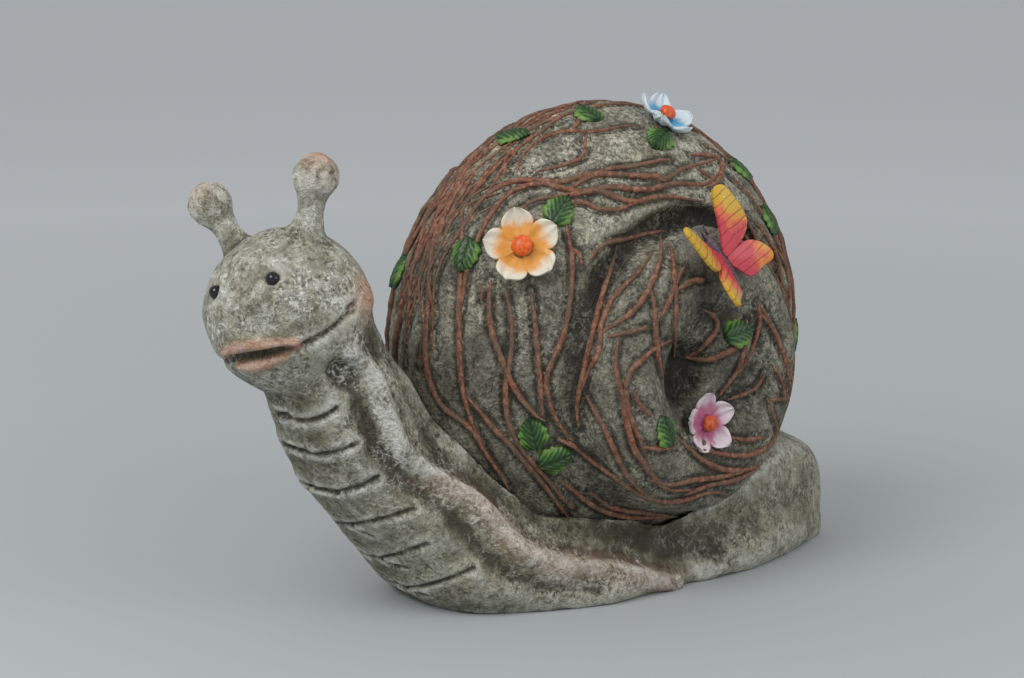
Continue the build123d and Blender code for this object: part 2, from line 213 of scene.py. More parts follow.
class Signal:
    # what comes out of a node: it can be reckoned with like a number, ramped and blended

    def __init__(self, tree, socket):
        self.tree = tree
        self.socket = socket

    def calc(self, operation, other=0.0, clamp=False):
        node = addNode(self.tree, "ShaderNodeMath", operation=operation, use_clamp=clamp)
        link(self.tree, self, node.inputs[0])
        link(self.tree, other, node.inputs[1])
        return Signal(self.tree, node.outputs[0])

    def __add__(self, other):
        return self.calc("ADD", other)

    def __sub__(self, other):
        return self.calc("SUBTRACT", other)

    def __mul__(self, other):
        return self.calc("MULTIPLY", other)

    def __abs__(self):
        return self.calc("ABSOLUTE")

    def ramp(self, *stops):
        node = self.tree.nodes.new("ShaderNodeValToRGB")
        link(self.tree, self, node.inputs[0])
        points = node.color_ramp.elements
        while len(points) < len(stops):
            points.new(0.5)
        for point, (place, colour) in zip(points, stops):
            point.position = place
            point.color = (*colour, 1) if hasattr(colour, "__len__") else (colour, colour, colour, 1)
        return Signal(self.tree, node.outputs[0])

    def blend(self, other, share, kind="MIX"):
        # this colour with a share of the other one over it
        node = addNode(self.tree, "ShaderNodeMix", data_type="RGBA", blend_type=kind)
        for value, place in ((share, 0), (self, 6), (other, 7)):
            link(self.tree, value, node.inputs[place])
        return Signal(self.tree, node.outputs[2])


def objectPlace(tree):
    return Signal(tree, addNode(tree, "ShaderNodeTexCoord").outputs["Object"])


def objectNoise(tree, scale, detail=4.0, rough=0.55, warp=0.0, output="Fac"):
    node = addNode(tree, "ShaderNodeTexNoise", Scale=scale, Detail=detail, Roughness=rough, Distortion=warp)
    link(tree, objectPlace(tree), node.inputs["Vector"])
    return Signal(tree, node.outputs[output])


def cells(tree, place, scale, feature="F1"):
    node = addNode(tree, "ShaderNodeTexVoronoi", feature=feature, Scale=scale)
    link(tree, place, node.inputs["Vector"])
    return Signal(tree, node.outputs["Distance"])


def attribute(tree, name):
    return Signal(tree, addNode(tree, "ShaderNodeAttribute", attribute_name=name).outputs["Fac"])


def bump(tree, shader, height, strength, distance):
    node = addNode(tree, "ShaderNodeBump", Strength=strength, Distance=distance)
    link(tree, height, node.inputs["Height"])
    tree.links.new(node.outputs[0], shader.inputs["Normal"])


def paintColour(tree, shader, colour):
    link(tree, colour, shader.inputs["Base Color"])


def paintSpecks(tree, shader, look):
    # darker and lighter specks: grain is the noise, bump its strength and depth
    grain = objectNoise(tree, *look["grain"])
    paintColour(tree, shader, grain.ramp(*look["stops"]))
    bump(tree, shader, grain, *look["bump"])


def uvParts(tree, layer):
    place = addNode(tree, "ShaderNodeUVMap", uv_map=layer).outputs[0]
    parts = addNode(tree, "ShaderNodeSeparateXYZ")
    tree.links.new(place, parts.inputs[0])
    return (Signal(tree, socket) for socket in (place, parts.outputs[0], parts.outputs[1]))


def uvWave(tree, place, scale, warp, way):
    wave = addNode(tree, "ShaderNodeTexWave", Scale=scale, Distortion=warp, Detail=2, bands_direction=way)
    link(tree, place, wave.inputs["Vector"])
    return Signal(tree, wave.outputs["Fac"])


# castings: copied from the CAD nodes, remeshed evenly and then worked like clay


def copyNodes(names):
    bm = bmesh.new()
    for name in names:
        bm.from_mesh(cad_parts[name].data)
    bmesh.ops.remove_doubles(bm, verts=bm.verts, dist=1e-5)
    return bm


def remesh(name, bm, voxel):
    piece = newPiece(name, bm)
    modifier = piece.modifiers.new("remesh", "REMESH")
    modifier.mode = "VOXEL"
    modifier.voxel_size = voxel
    modifier.use_smooth_shade = True
    ready = piece.evaluated_get(bpy.context.evaluated_depsgraph_get())
    mesh = bpy.data.meshes.new_from_object(ready)
    piece.modifiers.clear()
    piece.data = mesh
    keepOutside(mesh)
    return piece


def keepOutside(mesh):
    # the hollow inside the casting is a skin of its own and goes
    bm = bmesh.new()
    bm.from_mesh(mesh)
    bm.verts.ensure_lookup_table()
    seen = set()
    groups = []
    for start in bm.verts:
        if start.index in seen:
            continue
        seen.add(start.index)
        group = [start]
        for vert in group:
            for edge in vert.link_edges:
                other = edge.other_vert(vert)
                if other.index not in seen:
                    seen.add(other.index)
                    group.append(other)
        groups.append(group)
    groups.sort(key=len)
    for group in groups[:-1]:
        bmesh.ops.delete(bm, geom=group, context="VERTS")
    bm.to_mesh(mesh)
    bm.free()


def bell(values):
    return np.exp(-(values**2))


def unit(values):
    return np.clip(values, 0, 1)


class Clay:
    # the vertices of one casting, worked as arrays

    def __init__(self, piece):
        self.mesh = piece.data
        count = len(self.mesh.vertices)
        places = np.empty(count * 3)
        self.mesh.vertices.foreach_get("co", places)
        self.places = places.reshape(-1, 3)
        ends = np.empty(len(self.mesh.edges) * 2, int)
        self.mesh.edges.foreach_get("vertices", ends)
        self.ends = ends.reshape(-1, 2)
        self.degree = np.bincount(ends, minlength=count)[:, None]

    def store(self):
        self.mesh.vertices.foreach_set("co", self.places.ravel())
        self.mesh.update()

    def normals(self):
        self.store()
        found = np.empty(len(self.places) * 3)
        self.mesh.vertex_normals.foreach_get("vector", found)
        return found.reshape(-1, 3)

    def average(self, values):
        first, second = self.ends.T
        total = np.empty_like(values)
        for k in range(values.shape[1]):
            total[:, k] = np.bincount(first, values[second, k], len(values))
            total[:, k] += np.bincount(second, values[first, k], len(values))
        return total / self.degree

    def smooth(self, rounds, share=1.0):
        share = np.asarray(share).reshape(-1, 1) * 0.7
        for _ in range(rounds):
            self.places += (self.average(self.places) - self.places) * share

    def near(self, spot, reach):
        gap = np.linalg.norm(self.places - np.array(spot), axis=1)
        return bell(gap / reach)

    def gapToLine(self, line, reach):
        # distance to a row of points, only for what lies within reach
        line = np.array([tuple(p) for p in line])
        gap = np.full(len(self.places), 1.0)
        if len(line) < 2:
            return gap
        close = np.where(
            np.all((self.places > line.min(0) - reach) & (self.places < line.max(0) + reach), axis=1)
        )[0]
        spots = self.places[close]
        best = np.full(len(spots), 1.0)
        for a, b in zip(line[:-1], line[1:]):
            along = b - a
            t = np.clip((spots - a) @ along / max(along @ along, 1e-12), 0, 1)
            best = np.minimum(best, np.linalg.norm(spots - a - t[:, None] * along, axis=1))
        gap[close] = best
        return gap

    def stroke(self, line, width, depth):
        gap = self.gapToLine(line, width * 3)
        self.places += self.normals() * (depth * bell(gap / width))[:, None]

    def roughen(self, size, depth):
        # low uneven swells, as on a piece modelled by hand
        swells = np.array([noise.noise(Vector(p) / size) for p in self.places])
        self.places += self.normals() * (swells * depth)[:, None]

    def swell(self, spot, width, depth):
        self.places += self.normals() * (self.near(spot, width) * depth)[:, None]

    def relief(self, rounds, scale):
        # how far each place stands above its surroundings, from -1 to 1
        base = Clay.__new__(Clay)
        base.places = self.places.copy()
        base.ends = self.ends
        base.degree = self.degree
        base.smooth(rounds)
        height = np.sum((self.places - base.places) * self.normals(), axis=1)
        return np.clip(height / scale, -1, 1)

    def paint(self, name, values):
        layer = self.mesh.attributes.new(name, "FLOAT", "POINT")
        layer.data.foreach_set("value", np.asarray(values, np.float32))


def tree3d(piece):
    bm = bmesh.new()
    bm.from_mesh(piece.data)
    tree = BVHTree.FromBMesh(bm)
    bm.free()
    return tree


def curved(points, step):
    # an even, rounded row of points through given ones
    points = [Vector(p) for p in points]
    rows = [points[0]]
    for i in range(len(points) - 1):
        a = points[max(i - 1, 0)]
        b = points[i]
        c = points[i + 1]
        d = points[min(i + 2, len(points) - 1)]
        count = max(1, round((c - b).length / step))
        for k in range(1, count + 1):
            t = k / count
            squared = (2 * a - 5 * b + 4 * c - d) * t * t
            rows.append(0.5 * (2 * b + (c - a) * t + squared + (3 * b - a - 3 * c + d) * t**3))
    return rows


def castLine(tree, pixels, step=2.0, rounds=2):
    line = []
    for p in curved([(x, y, 0) for x, y in pixels], step):
        spot = tree.ray_cast(viewPoint(), pixelRay(p.x, p.y))[0]
        if spot is None or (line and (spot - line[-1]).length > 0.022):
            continue
        line.append(spot)
    for _ in range(rounds):
        line = [
            p if i in (0, len(line) - 1) else line[i - 1] * 0.25 + p * 0.5 + line[i + 1] * 0.25
            for i, p in enumerate(line)
        ]
    return line


headMiddle = Vector((middleX, -0.16538, 0.173))
headTurn = Matrix.Rotation(math.radians(20), 3, "Z") @ Matrix.Rotation(math.radians(-15), 3, "Y")
headRadius = 0.0445


def acrossShell(spot):
    return Vector((2 * middleX - spot.x, spot.y, spot.z))


def mirrored(line):
    return [acrossShell(p) for p in line]


def headSpot(x, y, z):
    return headMiddle + headTurn @ Vector((x, y, z))


def acrossHead(spot):
    own = headTurn.inverted() @ (spot - headMiddle)
    own.x = -own.x
    return headMiddle + headTurn @ own


# body: foot, neck, head and stalks in one skin, with face and folds traced from the photograph

body = {
    "voxel": 0.0016,
    "drain": {"middle": (middleX, -0.01738, 0.0065), "radius": 0.0152, "depth": 0.005},
    "face": {
        "middle": (0, -0.041385, -0.016465), "reach": 0.022, "chin": -0.034,
        "lipHeight": 0.014, "fade": 0.004,
    },
    "joins": {
        "stalkRoot": (0.0245, 0, 0.038789), "rootReach": 0.010, "collarReach": 0.009,
        "collarFront": -0.028, "rounds": 26,
    },
    "tail": {"start": 0.165, "fade": 0.03, "sole": 0.004, "rounds": 60},
    "swells": ((0.020, 0.0011), (0.008, 0.0005)),  # size and depth
    "faceStrokes": (  # line, width, depth, whether the other side has it too
        ("upperLip", 0.0027, 0.0019, False),
        ("lowerLip", 0.0024, 0.0016, False),
        ("opening", 0.0024, -0.0052, False),
        ("smile", 0.0016, -0.0027, True),
    ),
    "faceSwells": {"cheek": (0.0085, 0.0034), "dimple": (0.0028, -0.0022)},
    "foldStrokes": (
        ("foldValley", 0.0080, -0.0044), ("foldRidge", 0.0050, 0.0052), ("shoulder", 0.010, -0.0035),
    ),
    "bellyStrokes": ((0.0060, 0.0009), (0.0017, -0.0032)),  # the plates' swollen edges, then the groove
    "fineRelief": (6, 0.0005),  # rounds of smoothing it is measured against, and full height
    "broadRelief": (60, 0.0022),
    "blush": {
        "cheek": 0.011, "upperLip": 0.0036, "lowerLip": 0.0030, "lips": 0.95,
        "tip": (0.0445, 0, 0.078), "tipReach": 0.013, "ridge": 0.007, "ridgeTop": 0.085,
    },
    "dryBand": {"height": 0.175, "reach": 0.045, "behind": -0.1, "ridge": 0.010},
    "mouthReach": 0.0025,
    "opening": [(229, 361), (243, 359), (262, 356), (286, 350)],
    "smile": [(286, 350), (310, 342), (334, 327), (350, 311), (357, 300)],
    "upperLip": [(225, 354), (238, 348), (254, 346), (274, 345), (296, 344)],
    "lowerLip": [(238, 366), (252, 368), (268, 364), (284, 356)],
    "cheek": (366, 298),
    "dimple": (353, 308),
    "bellyGrooves": [
        [(276, 412), (287, 417), (305, 421), (322, 417), (337, 409)],
        [(284, 442), (295, 448), (313, 454), (336, 452), (359, 444)],
        [(300, 480), (315, 487), (335, 491), (358, 487), (379, 478)],
        [(320, 515), (332, 520), (352, 524), (385, 518), (416, 509)],
        [(350, 546), (361, 551), (378, 557), (402, 553), (426, 544)],
        [(384, 578), (398, 584), (416, 587), (445, 580), (474, 569)],
    ],
    "foldRidge": [
        (349, 352), (366, 366), (378, 384), (384, 404), (391, 424), (402, 449), (421, 468), (446, 481),
        (474, 496), (497, 521), (520, 547), (560, 563), (620, 570), (676, 586),
    ],
    "foldValley": [
        (338, 372), (352, 392), (362, 418), (374, 446), (392, 472), (414, 492), (444, 510), (468, 534),
        (492, 562), (540, 588), (600, 594),
    ],
    "shoulder": [
        (392, 356), (408, 386), (424, 420), (444, 452), (476, 478), (520, 500), (580, 520), (650, 540),
        (720, 548),
    ],
}


def headPlaces(clay):
    own = (clay.places - np.array(headMiddle)) @ np.array(headTurn)
    return own, np.linalg.norm(own, axis=1)


def makeBody():
    bm = copyNodes(["body_casting", "stalk_left", "stalk_right", "stalk_rod_left", "stalk_rod_right"])
    drain = body["drain"]
    bmesh.ops.create_cone(
        bm, cap_ends=True, segments=48, radius1=drain["radius"], radius2=drain["radius"],
        depth=drain["depth"], matrix=Matrix.Translation(drain["middle"]),
    )
    piece = roundFace(remesh("body_skin", bm, body["voxel"]))
    clay = Clay(piece)
    softenJoins(clay)
    skin = tree3d(piece)
    cheek = workFace(clay, skin)
    workFolds(clay, skin)
    clay.places[:, 2] = np.maximum(clay.places[:, 2], 0.0)
    paintBody(clay, skin, cheek)
    clay.store()
    dress(piece, "bodyStone", 0.5, paintBodyStone)
    stalks = ("stalk_left", "stalk_right", "stalk_rod_left", "stalk_rod_right")
    finishPiece(piece, "body_casting", "body_casting", *stalks)
    print("body", len(piece.data.polygons))


def roundFace(piece):
    # the lips of the CAD head are taken back to the round head, so that the face can be worked in
    face = body["face"]
    clay = Clay(piece)
    own, far = headPlaces(clay)
    share = unit(clay.near(headSpot(*face["middle"]), face["reach"]) * 2.4) * (own[:, 2] > face["chin"])
    share *= unit((face["lipHeight"] - np.abs(far - headRadius)) / face["fade"])
    onBall = own / far[:, None] * headRadius
    own = own + (onBall - own) * share[:, None]
    clay.places = own @ np.array(headTurn).T + np.array(headMiddle)
    clay.store()
    bm = bmesh.new()
    bm.from_mesh(piece.data)
    bpy.data.objects.remove(piece)
    return remesh("body_skin", bm, body["voxel"])


def softenJoins(clay):
    own, far = headPlaces(clay)
    joins = body["joins"]
    x, y, z = joins["stalkRoot"]
    roots = sum(clay.near(headSpot(side * x, y, z), joins["rootReach"]) for side in (-1, 1))
    collar = bell((far - headRadius) / joins["collarReach"]) * (own[:, 1] > joins["collarFront"])
    clay.smooth(joins["rounds"], unit(roots * 1.4 + collar))
    tail = body["tail"]
    end = unit((clay.places[:, 1] - tail["start"]) / tail["fade"])
    clay.smooth(tail["rounds"], end * (clay.places[:, 2] > tail["sole"]))
    clay.smooth(3)
    for size, depth in body["swells"]:
        clay.roughen(size, depth)
    clay.store()


def workFace(clay, skin):
    for name, width, depth, bothSides in body["faceStrokes"]:
        line = castLine(skin, body[name], 3)
        clay.stroke(line, width, depth)
        if bothSides:
            clay.stroke([acrossHead(p) for p in line], width, depth)
    for name, (width, depth) in body["faceSwells"].items():
        spot = skin.ray_cast(viewPoint(), pixelRay(*body[name]))[0]
        clay.swell(spot, width, depth)
        clay.swell(acrossHead(spot), width, depth)
    return skin.ray_cast(viewPoint(), pixelRay(*body["cheek"]))[0]


def workFolds(clay, skin):
    for name, width, depth in body["foldStrokes"]:
        line = castLine(skin, body[name], 4)
        for way in (line, mirrored(line)):
            clay.stroke(way, width, depth)
    for pixels in body["bellyGrooves"]:
        line = castLine(skin, pixels, 3)
        for way in (line, mirrored(line)):
            for width, depth in body["bellyStrokes"]:
                clay.stroke(way, width, depth)


def paintBody(clay, skin, cheek):
    # painted attributes: hollows, edges, orange blush, dry brushing and the dark of the mouth
    fine = clay.relief(*body["fineRelief"])
    broad = clay.relief(*body["broadRelief"])
    clay.paint("hollow", unit(-fine * 0.8 - broad * 0.7))
    clay.paint("edge", unit(fine * 0.9 + broad * 0.5))
    reach = body["blush"]
    blush = clay.near(cheek, reach["cheek"]) + clay.near(acrossHead(cheek), reach["cheek"])
    for name in ("upperLip", "lowerLip"):
        gap = clay.gapToLine(castLine(skin, body[name], 3), 0.02)
        blush = np.maximum(blush, reach["lips"] * np.exp(-((gap / reach[name]) ** 3)))
    x, y, z = reach["tip"]
    for side in (-1, 1):
        blush = np.maximum(blush, 0.75 * clay.near(headSpot(side * x, y, z), reach["tipReach"]))
    line = castLine(skin, body["foldRidge"], 4)
    ridge = np.minimum(clay.gapToLine(line, 0.04), clay.gapToLine(mirrored(line), 0.04))
    low = clay.places[:, 2] < reach["ridgeTop"]
    clay.paint("blush", unit(np.maximum(blush, 0.45 * bell(ridge / reach["ridge"]) * low)))
    band = body["dryBand"]
    dry = 0.25 + 0.9 * bell(ridge / band["ridge"])
    around = bell((clay.places[:, 2] - band["height"]) / band["reach"])
    dry += around * 0.55 * (clay.places[:, 1] < band["behind"])
    clay.paint("dry", unit(dry))
    inside = clay.gapToLine(castLine(skin, body["opening"], 3), 0.02)
    clay.paint("mouth", np.exp(-((inside / body["mouthReach"]) ** 4)))


bodyPaint = {
    "base": (0.225, 0.213, 0.145),
    "pale": (0.34, 0.33, 0.245),
    "umber": (0.050, 0.044, 0.026),
    "moss": (0.120, 0.115, 0.070),
    "brushed": (0.64, 0.64, 0.575),
    "blush": (0.50, 0.225, 0.130),
    "mouth": (0.022, 0.014, 0.010),
    "grit": 0.55,
    "webScale": 165,
    "speckle": 0.85,
    "lines": 1.0,
}


# noise scales of the layers, in waves per metre
stoneGrain = {
    "patches": 26, "grime": 95, "grit": 430, "pits": 300, "spread": 34, "smudge": 130, "drift": 140,
    "coarse": 48,
}


def paintStone(tree, shader, paint):
    # one layered paint job: base, moss, grain, dark wash in hollows and pits, pale dry brushing on edges; on
    # the shell the wash also carries painted shade beside the vines and the dry brushing a painted highlight
    # towards the top
    def grain(name, *values):
        return objectNoise(tree, stoneGrain[name], *values)

    patches = grain("patches", 5, 0.6, 0.6)
    colour = patches.ramp((0.38, paint["moss"]), (0.5, paint["base"]), (0.62, paint["pale"]))
    grime = grain("grime", 6, 0.7, 0.8)
    colour = colour.blend(paint["moss"], grime.ramp((0.46, 0.0), (0.60, 0.6)))
    grit = grain("grit", 4, 0.75, 0.5)
    contrast = grit.ramp((0.34, 0.06), (0.5, 0.5), (0.66, 0.94))
    colour = colour.blend(contrast, paint["grit"], "OVERLAY")
    spread = grain("spread", 3, 0.5).ramp((0.40, 0.0), (0.56, 1.0))
    pits = grain("pits", 4, 0.65, 0.4).ramp((0.38, 1.0), (0.45, 0.0)) * (spread * paint["speckle"])
    # the dry brushing mask, which on the shell also carries a painted highlight towards the top
    brushed = attribute(tree, "dry")
    smudge = grain("smudge", 6, 0.8, 0.3).ramp((0.36, 0.75), (0.46, 0.0)) * (brushed * -0.7 + 1.0)
    # the dark wash in hollows, which on the shell also carries painted shade beside the vines
    washAndVineShade = (attribute(tree, "hollow") + grime * 0.35).ramp((0.22, 0.0), (0.75, 0.92))
    for dark in (smudge, pits, washAndVineShade):
        colour = colour.blend(paint["umber"], dark)

    # dry brushing catches a web of thin ridges
    drift = grain("drift", 3, 0.5, 0.0, "Color")
    web = cells(tree, objectPlace(tree).blend(drift, 0.010, "ADD"), paint["webScale"], "DISTANCE_TO_EDGE")
    thin = web.ramp((0.0, 1.0), (0.13, 0.0))
    coarse = grain("coarse", 4, 0.6, 0.5).ramp((0.42, 0.0), (0.58, 1.0))
    lines = thin * (coarse * paint["lines"]) * grit.ramp((0.40, 0.15), (0.55, 1.0))
    dust = coarse * grit.ramp((0.50, 0.0), (0.64, 1.0))
    edge = attribute(tree, "edge") * grime.ramp((0.38, 0.0), (0.56, 1.0))
    dry = (lines * brushed + dust * (brushed * 0.75)).calc("ADD", edge * 0.75, clamp=True)

    bump(tree, shader, grime * 0.5 + grit * 0.55 + thin * 0.25 - pits * 0.6, 0.9, 0.0018)
    link(tree, grime.ramp((0.3, 0.62), (0.7, 0.86)), shader.inputs["Roughness"])
    return colour.blend(paint["brushed"], dry)


def paintBodyStone(tree, shader):
    colour = paintStone(tree, shader, bodyPaint)
    rubbed = objectNoise(tree, 120, 5, 0.7).ramp((0.3, 0.35), (0.6, 1.0))
    colour = colour.blend(bodyPaint["blush"], attribute(tree, "blush") * rubbed)
    paintColour(tree, shader, colour.blend(bodyPaint["mouth"], attribute(tree, "mouth")))


# shell

shell = {
    "voxel": 0.00185,
    "middle": (middleX, 0.04462, 0.139),
    "halfSize": (0.09, 0.134),  # sideways, and in its own plane
    "flank": {"start": 0.03, "rounds": 30, "share": 0.8},  # extra smoothing of the two sides
    "swells": ((0.024, 0.0012), (0.009, 0.0006)),  # size and depth
    "grooves": {"away": 0.0026, "width": 0.0013, "depth": 0.0009},  # beside the vines
    "fineRelief": (6, 0.0005),
    "broadRelief": (90, 0.0045),
    # painted light and shade, multiplied into the shell colour: lighter at the top and along the rim, darker
    # in the coil and the broad hollows; the vine reaches set the painted shade beside the vines
    "paintedLightShade": {
        "coil": (middleX + 0.09, 0.0506, 0.126), "coilReach": 0.075, "rimReach": 0.045,
        "high": 0.19, "highFade": 0.05, "vineShadeReach": 0.0036, "vineShadeEdgeReach": 0.004,
    },
}

shellPaint = {
    "base": (0.150, 0.140, 0.097),
    "pale": (0.300, 0.290, 0.215),
    "umber": (0.026, 0.022, 0.014),
    "moss": (0.076, 0.070, 0.047),
    "brushed": (0.46, 0.44, 0.36),
    "grit": 0.95,
    "webScale": 230,
    "speckle": 0.7,
    "lines": 0.6,
}

vine = {
    "radius": 0.00160,
    "sink": 0.0001,
    "rim": 0.012,  # how far the strands of the rim reach to each side
    "barkStrands": 16,
    "base": (0.178, 0.062, 0.033),
    "worn": (0.37, 0.190, 0.112),
    "dark": (0.045, 0.020, 0.013),
}

# vines as the photograph shows them: a share of the common thickness, then x, y, x, y ... in its pixels
vinesSeen = [
    (1.1, [442, 180, 435, 235, 431, 258, 429, 295, 426, 332, 426, 360, 431, 385, 441, 405, 455, 417, 469, 427,
      479, 441, 487, 455, 497, 470, 509, 490]),
    (1.1, [462, 195, 462, 235, 461, 270, 459, 307, 459, 345, 461, 375, 465, 400, 474, 427, 482, 442]),
    (1.0, [505, 195, 490, 215, 480, 235, 471, 257, 465, 280, 461, 310]),
    (1.1, [467, 397, 480, 412, 495, 430, 510, 445, 525, 462, 540, 480, 555, 500, 567, 517]),
    (1.15, [491, 280, 489, 307, 492, 332, 500, 355, 510, 380, 522, 400, 535, 415, 545, 421]),
    (1.0, [505, 290, 510, 310, 512, 332, 511, 355, 506, 382, 506, 402, 508, 420, 517, 442, 530, 460, 545, 477,
      560, 495, 573, 509]),
    (0.95, [531, 290, 534, 315, 537, 345, 539, 370, 541, 395, 543, 417]),
    (1.0, [565, 209, 566, 225, 570, 245, 572, 257, 572, 280, 570, 302, 567, 320, 562, 340, 554, 357, 547, 375,
      547, 390, 552, 410, 561, 427, 572, 441]),
    (0.7, [572, 250, 579, 253, 582, 267]),
    (1.15, [462, 225, 475, 207, 487, 195, 500, 186, 515, 181, 535, 180, 550, 182, 565, 181, 582, 176,
      600, 174, 620, 175, 640, 176, 660, 177, 667, 179, 682, 169, 700, 164, 717, 159]),
    (1.1, [482, 230, 495, 210, 507, 195, 525, 186, 545, 184, 565, 189, 587, 191, 610, 187, 632, 189, 652, 189,
      670, 184, 687, 184, 705, 184, 717, 175, 722, 167]),
    (1.1, [520, 210, 535, 200, 555, 197, 570, 195, 585, 192, 600, 191, 615, 197, 635, 202, 655, 197, 675, 197,
      690, 200, 702, 201]),
    (1.0, [550, 197, 565, 202, 582, 202, 600, 209, 620, 209, 635, 202]),
    (1.0, [565, 195, 575, 185, 590, 177, 605, 170, 625, 167, 645, 164, 660, 160, 670, 160]),
    (0.7, [506, 177, 505, 162, 511, 149]),
    (0.85, [517, 172, 520, 160, 530, 147, 545, 137, 560, 132, 577, 131, 587, 132, 605, 130, 625, 126,
      637, 126]),
    (0.75, [587, 132, 585, 142, 584, 155, 572, 162, 555, 167, 535, 172]),
    (0.8, [584, 111, 580, 120, 572, 130]),
    (0.75, [515, 142, 530, 130, 545, 122, 565, 115, 582, 111]),
    (0.8, [655, 177, 665, 181, 672, 175]),
    (1.0, [690, 155, 707, 155, 720, 160, 722, 170, 717, 182, 707, 187]),
    (0.8, [695, 167, 707, 175, 715, 180]),
    (0.65, [437, 182, 429, 207, 422, 235, 415, 260, 405, 285, 397, 307]),
    (0.7, [450, 177, 440, 205, 431, 235, 422, 265, 412, 292, 402, 315]),
    (0.75, [462, 177, 455, 195, 447, 212, 440, 230, 435, 245]),
    (0.6, [420, 202, 410, 230, 402, 255, 395, 280, 390, 300]),
    (0.75, [475, 170, 465, 190, 455, 205, 447, 222]),
    (0.7, [490, 165, 480, 182, 470, 197, 462, 212]),
    (0.95, [665, 231, 645, 234, 625, 239, 610, 242, 600, 247, 590, 259]),
    (1.15, [617, 245, 612, 265, 607, 280, 601, 300, 596, 320, 592, 337, 587, 357, 584, 372, 579, 392,
      577, 412, 579, 427]),
    (1.0, [660, 235, 661, 255, 655, 275, 647, 292, 637, 307, 622, 320, 607, 329, 601, 335]),
    (1.0, [654, 250, 640, 270, 625, 285, 612, 300, 606, 312, 601, 327, 600, 345, 595, 360, 587, 375,
      582, 390]),
    (1.0, [670, 242, 674, 265, 675, 285, 676, 310, 675, 335, 674, 357]),
    (1.05, [651, 290, 655, 310, 656, 335, 659, 360, 665, 382, 676, 397]),
    (0.85, [685, 267, 677, 280, 672, 295, 665, 310, 661, 317]),
    (0.9, [607, 337, 620, 334, 635, 331, 647, 327]),
    (1.15, [619, 336, 616, 355, 617, 375, 622, 395, 626, 417, 630, 435, 635, 450, 645, 465, 655, 480,
      670, 490, 690, 490]),
    (1.0, [672, 340, 657, 347, 645, 357, 632, 370, 626, 385, 627, 402, 632, 422, 640, 440, 645, 455]),
    (1.0, [586, 395, 595, 412, 605, 430, 612, 445, 621, 465, 632, 482, 650, 500]),
    (0.85, [632, 390, 640, 405, 652, 417]),
    (0.8, [641, 447, 657, 449, 675, 447]),
    (1.05, [677, 437, 690, 450, 705, 462, 725, 470, 745, 470, 765, 465, 780, 452, 790, 432, 791, 415]),
    (1.0, [572, 445, 590, 460, 607, 472, 625, 485, 645, 497, 665, 502, 685, 500, 700, 495, 715, 492,
      735, 497]),
    (1.0, [650, 480, 670, 485, 695, 480, 720, 477, 745, 470, 770, 460, 782, 445]),
    (0.95, [690, 447, 710, 452, 730, 455, 750, 455, 770, 445, 777, 430, 772, 412, 770, 400]),
    (0.75, [730, 437, 745, 440, 765, 437]),
    (0.8, [727, 400, 742, 395, 757, 387, 765, 372]),
    (0.95, [720, 395, 735, 375, 747, 360, 755, 340, 760, 320, 757, 302]),
    (1.1, [685, 357, 705, 360, 722, 355, 737, 347, 745, 335, 747, 320]),
    (0.95, [702, 309, 715, 317, 717, 330, 707, 342, 697, 352, 687, 356]),
    (1.1, [677, 290, 690, 282, 705, 280]),
    (0.85, [745, 335, 742, 360, 730, 382]),
    (0.85, [750, 227, 765, 255, 775, 280, 785, 310, 795, 335, 800, 365, 802, 395]),
    (0.95, [745, 235, 760, 265, 770, 290, 780, 315, 787, 340, 792, 365, 797, 385, 797, 410]),
    (0.8, [757, 310, 770, 325, 780, 345, 790, 365]),
    (0.8, [770, 400, 785, 399, 792, 399]),
    (0.85, [760, 305, 775, 332, 785, 360, 790, 385, 795, 407]),
    (0.75, [772, 365, 782, 382, 785, 400]),
    (1.0, [790, 415, 785, 437, 775, 455, 760, 467, 735, 480, 710, 485, 685, 495]),
    (1.05, [560, 480, 575, 492, 592, 505, 607, 512, 627, 517, 650, 517, 675, 517, 690, 517]),
    (0.95, [590, 492, 607, 505, 622, 510, 640, 512, 662, 515, 680, 519]),
    (0.9, [559, 440, 572, 445, 580, 452]),
    (0.8, [680, 520, 700, 517, 725, 513, 750, 500]),
]

# strands where the photograph can't see, as angles around the shell and out from its rim
vinesHidden = [
    ((100, 8), (124, 12), (148, 9), (172, 13), (196, 9)),
    ((106, 18), (132, 21), (158, 17), (182, 22), (203, 18)),
    ((112, 29), (138, 27), (162, 31), (186, 27), (207, 30)),
    ((120, 38), (144, 41), (168, 37), (190, 41), (212, 37)),
    ((128, 49), (152, 46), (174, 50), (198, 46), (216, 49)),
    ((134, 56), (160, 58), (186, 55), (208, 58)),
    ((110, 14), (130, 26), (150, 33), (170, 44), (190, 52)),
    ((118, 33), (140, 22), (164, 14), (188, 8)),
    ((150, 44), (172, 32), (192, 24), (206, 15)),
]


def shellSpot(tree, around, side):
    a = math.radians(around)
    s = math.radians(side)
    wide, high = shell["halfSize"]
    out = Vector((math.sin(s) * wide, -math.cos(s) * math.cos(a) * high, math.cos(s) * math.sin(a) * high))
    return tree.find_nearest(Vector(shell["middle"]) + out * 1.04)[0]


